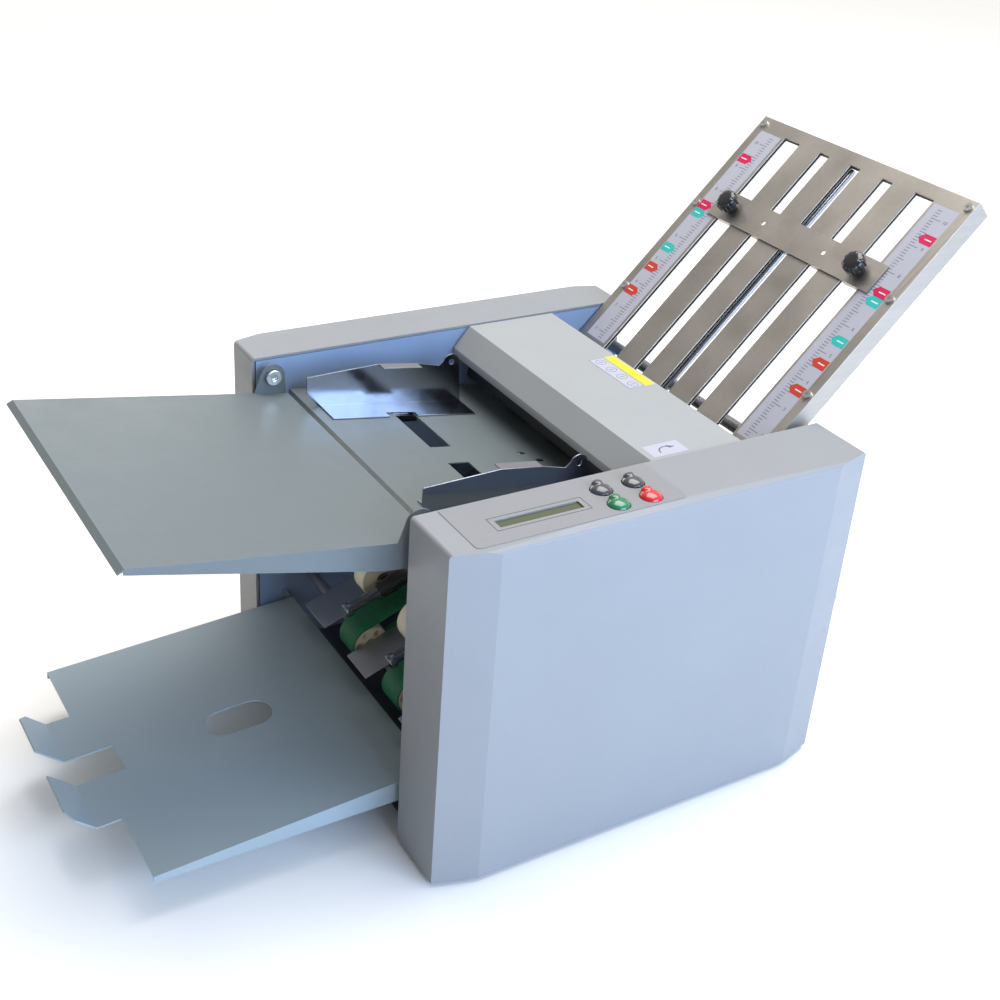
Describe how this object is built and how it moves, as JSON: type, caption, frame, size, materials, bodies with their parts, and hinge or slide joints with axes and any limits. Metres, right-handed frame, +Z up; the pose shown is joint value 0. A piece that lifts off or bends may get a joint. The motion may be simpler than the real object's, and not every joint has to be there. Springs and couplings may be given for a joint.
{
  "type": "paper folding machine",
  "caption": "Desktop buckle folding machine with feed table, hooded feed head, slotted upper fold plate with sliding stop, belt delivery and stacker tray.",
  "frame": {"origin": "under the middle of the whole machine, on the surface it stands on", "axes": "+X along the paper path from the feed table to the fold plate, +Y from the control side to the far side, +Z up"},
  "size_m": [0.6722, 0.353, 0.4083],
  "materials": {
    "cover_paint": "fine light grey texture paint",
    "frame_paint": "light blue semi-gloss paint",
    "tray_paint": "blue grey satin paint",
    "dark_paint": "dark grey satin paint",
    "deck_paint": "grey satin paint",
    "hood_metal": "light grey satin paint",
    "stainless": "brushed stainless sheet",
    "polished": "polished steel",
    "steel": "turned steel",
    "plated": "zinc plated",
    "black_plastic": "black moulded",
    "ivory_plastic": "ivory nylon",
    "green_belt": "green belt, fine weave",
    "black_rubber": "black rubber",
    "roller_rubber": "ground grey rubber",
    "bronze": "sintered bronze",
    "pcb": "green solder mask",
    "display": "olive green display",
    "overlay": "printed film",
    "green_button": "green moulded",
    "red_button": "red moulded",
    "black_button": "black moulded",
    "cork": "cork rubber"
  },
  "bodies": {
    "root": {"base_plate": "dark_paint", "near_frame": "frame_paint", "far_frame": "frame_paint", "cross_bars": "steel", "near_cover": "cover_paint", "far_cover": "cover_paint", "chassis_screws": "plated", "rubber_feet": "black_rubber", "frame_pins": "plated", "pivot_screws": "plated", "feed_deck": "deck_paint", "stack_gate": "black_plastic", "separator_pad": "cork", "fold_plate_top": "stainless", "fold_plate_bottom": "stainless", "plate_rail": "polished", "plate_screws": "plated", "lower_plate": "stainless", "shaft_bushes": "bronze", "delivery_belts": "green_belt", "exit_chute": "steel", "exit_rods": "polished", "timing_belts": "black_rubber", "drive_motor": "black_plastic", "power_supply": "steel", "control_board": "pcb", "display_module": "display", "control_overlay": "overlay", "mains_inlet": "black_plastic"},
    "table": {"feed_table": "deck_paint"},
    "hood": {"hood": "hood_metal"},
    "tray": {"stacker_tray": "tray_paint"},
    "near_guide": {"near_guide": "polished"},
    "far_guide": {"far_guide": "polished"},
    "paper_stop": {"paper_stop": "stainless"},
    "near_knob": {"near_stop_knob": "black_plastic"},
    "far_knob": {"far_stop_knob": "black_plastic"},
    "lower_stop": {"lower_stop": "stainless"},
    "lower_knob": {"lower_stop_knob": "black_plastic"},
    "roller_2": {"fold_roller_2": "roller_rubber", "roller_gear_2": "ivory_plastic"},
    "roller_1": {"fold_roller_1": "roller_rubber", "roller_gear_1": "ivory_plastic"},
    "roller_3": {"fold_roller_3": "roller_rubber", "roller_gear_3": "ivory_plastic"},
    "roller_4": {"fold_roller_4": "roller_rubber", "roller_gear_4": "ivory_plastic"},
    "feed_drive": {"feed_shaft": "steel", "feed_roller": "black_rubber"},
    "delivery_drive": {"delivery_shaft": "steel", "delivery_pulleys": "ivory_plastic"},
    "idler": {"idler_pulleys": "ivory_plastic"},
    "pinion": {"motor_pinion": "bronze"},
    "exit_carrier": {"exit_carrier": "black_plastic"},
    "exit_wheels": {"exit_wheels": "ivory_plastic"},
    "start_button": {"start_button": "green_button"},
    "stop_button": {"stop_button": "red_button"},
    "up_button": {"up_button": "black_button"},
    "down_button": {"down_button": "black_button"},
    "rocker": {"power_rocker": "black_plastic"}
  },
  "joints": [
    {"name": "table_fold", "type": "hinge", "parent": "root", "child": "table", "pos_m": [-0.12039, 0.007, 0.24934], "axis": [0, 1, 0], "range_deg": [0, 80]},
    {"name": "hood_lift", "type": "hinge", "parent": "root", "child": "hood", "pos_m": [0.1197, 0.007, 0.251], "axis": [0, 1, 0], "range_deg": [0, 95]},
    {"name": "tray_fold", "type": "hinge", "parent": "root", "child": "tray", "pos_m": [-0.1053, 0.007, 0.0435], "axis": [0, 1, 0], "range_deg": [0, 50]},
    {"name": "near_guide_slide", "type": "slide", "parent": "root", "child": "near_guide", "axis": [0, 1, 0], "range_m": [-0.015, 0.06]},
    {"name": "far_guide_slide", "type": "slide", "parent": "root", "child": "far_guide", "axis": [0, 1, 0], "range_m": [-0.06, 0.015]},
    {"name": "paper_stop_slide", "type": "slide", "parent": "root", "child": "paper_stop", "axis": [0.7071, 0, 0.7071], "range_m": [-0.11, 0.058]},
    {"name": "near_knob_turn", "type": "hinge", "parent": "paper_stop", "child": "near_knob", "pos_m": [0.25766, -0.065, 0.35509], "axis": [-0.7071, 0, 0.7071], "range_deg": [0, 180]},
    {"name": "far_knob_turn", "type": "hinge", "parent": "paper_stop", "child": "far_knob", "pos_m": [0.25766, 0.085, 0.35509], "axis": [-0.7071, 0, 0.7071], "range_deg": [0, 180]},
    {"name": "lower_stop_slide", "type": "slide", "parent": "root", "child": "lower_stop", "axis": [0.8192, 0, -0.5736], "range_m": [-0.036, 0.034]},
    {"name": "lower_knob_turn", "type": "hinge", "parent": "lower_stop", "child": "lower_knob", "pos_m": [0.22205, 0.007, 0.12975], "axis": [0.5736, 0, 0.8192], "range_deg": [0, 180]},
    {"name": "roller_2_spin", "type": "hinge", "parent": "root", "child": "roller_2", "pos_m": [0.1297, 0.007, 0.182], "axis": [0, 1, 0], "continuous": true},
    {"name": "roller_1_spin", "type": "hinge", "parent": "root", "child": "roller_1", "pos_m": [0.11981, 0.007, 0.21243], "axis": [0, 1, 0], "continuous": true},
    {"name": "roller_3_spin", "type": "hinge", "parent": "root", "child": "roller_3", "pos_m": [0.1587, 0.007, 0.19552], "axis": [0, 1, 0], "continuous": true},
    {"name": "roller_4_spin", "type": "hinge", "parent": "root", "child": "roller_4", "pos_m": [0.13798, 0.007, 0.15109], "axis": [0, 1, 0], "continuous": true},
    {"name": "feed_spin", "type": "hinge", "parent": "root", "child": "feed_drive", "pos_m": [0.07175, 0.007, 0.22497], "axis": [0, 1, 0], "continuous": true},
    {"name": "delivery_spin", "type": "hinge", "parent": "root", "child": "delivery_drive", "pos_m": [0.10791, 0.007, 0.14015], "axis": [0, 1, 0], "continuous": true},
    {"name": "idler_spin", "type": "hinge", "parent": "root", "child": "idler", "pos_m": [-0.0863, 0.007, 0.066], "axis": [0, 1, 0], "continuous": true},
    {"name": "pinion_spin", "type": "hinge", "parent": "root", "child": "pinion", "pos_m": [0.1057, 0.007, 0.182], "axis": [0, 1, 0], "continuous": true},
    {"name": "exit_carrier_slide", "type": "slide", "parent": "root", "child": "exit_carrier", "axis": [0.9342, 0, 0.3567], "range_m": [-0.01, 0.06]},
    {"name": "exit_wheel_spin", "type": "hinge", "parent": "exit_carrier", "child": "exit_wheels", "pos_m": [-0.06814, 0.007, 0.10815], "axis": [0, 1, 0], "continuous": true},
    {"name": "start_press", "type": "slide", "parent": "root", "child": "start_button", "axis": [0, 0, -1], "range_m": [0, 0.0012], "stiffness_N_per_m": 300, "springref_m": -0.0006},
    {"name": "stop_press", "type": "slide", "parent": "root", "child": "stop_button", "axis": [0, 0, -1], "range_m": [0, 0.0012], "stiffness_N_per_m": 300, "springref_m": -0.0006},
    {"name": "up_press", "type": "slide", "parent": "root", "child": "up_button", "axis": [0, 0, -1], "range_m": [0, 0.0012], "stiffness_N_per_m": 300, "springref_m": -0.0006},
    {"name": "down_press", "type": "slide", "parent": "root", "child": "down_button", "axis": [0, 0, -1], "range_m": [0, 0.0012], "stiffness_N_per_m": 300, "springref_m": -0.0006},
    {"name": "rocker_tilt", "type": "hinge", "parent": "root", "child": "rocker", "pos_m": [0.1937, -0.143, 0.078], "axis": [0, 1, 0], "range_deg": [0, 16]}
  ],
  "couplings": [
    {"joint": "roller_1_spin", "follows": "roller_2_spin", "ratio": -1},
    {"joint": "roller_3_spin", "follows": "roller_2_spin", "ratio": -1},
    {"joint": "roller_4_spin", "follows": "roller_2_spin", "ratio": -1},
    {"joint": "feed_spin", "follows": "roller_2_spin", "ratio": -1},
    {"joint": "delivery_spin", "follows": "roller_2_spin", "ratio": -1},
    {"joint": "idler_spin", "follows": "roller_2_spin", "ratio": -1},
    {"joint": "pinion_spin", "follows": "roller_2_spin", "ratio": -2},
    {"joint": "exit_wheel_spin", "follows": "roller_2_spin", "ratio": 0.91177}
  ]
}
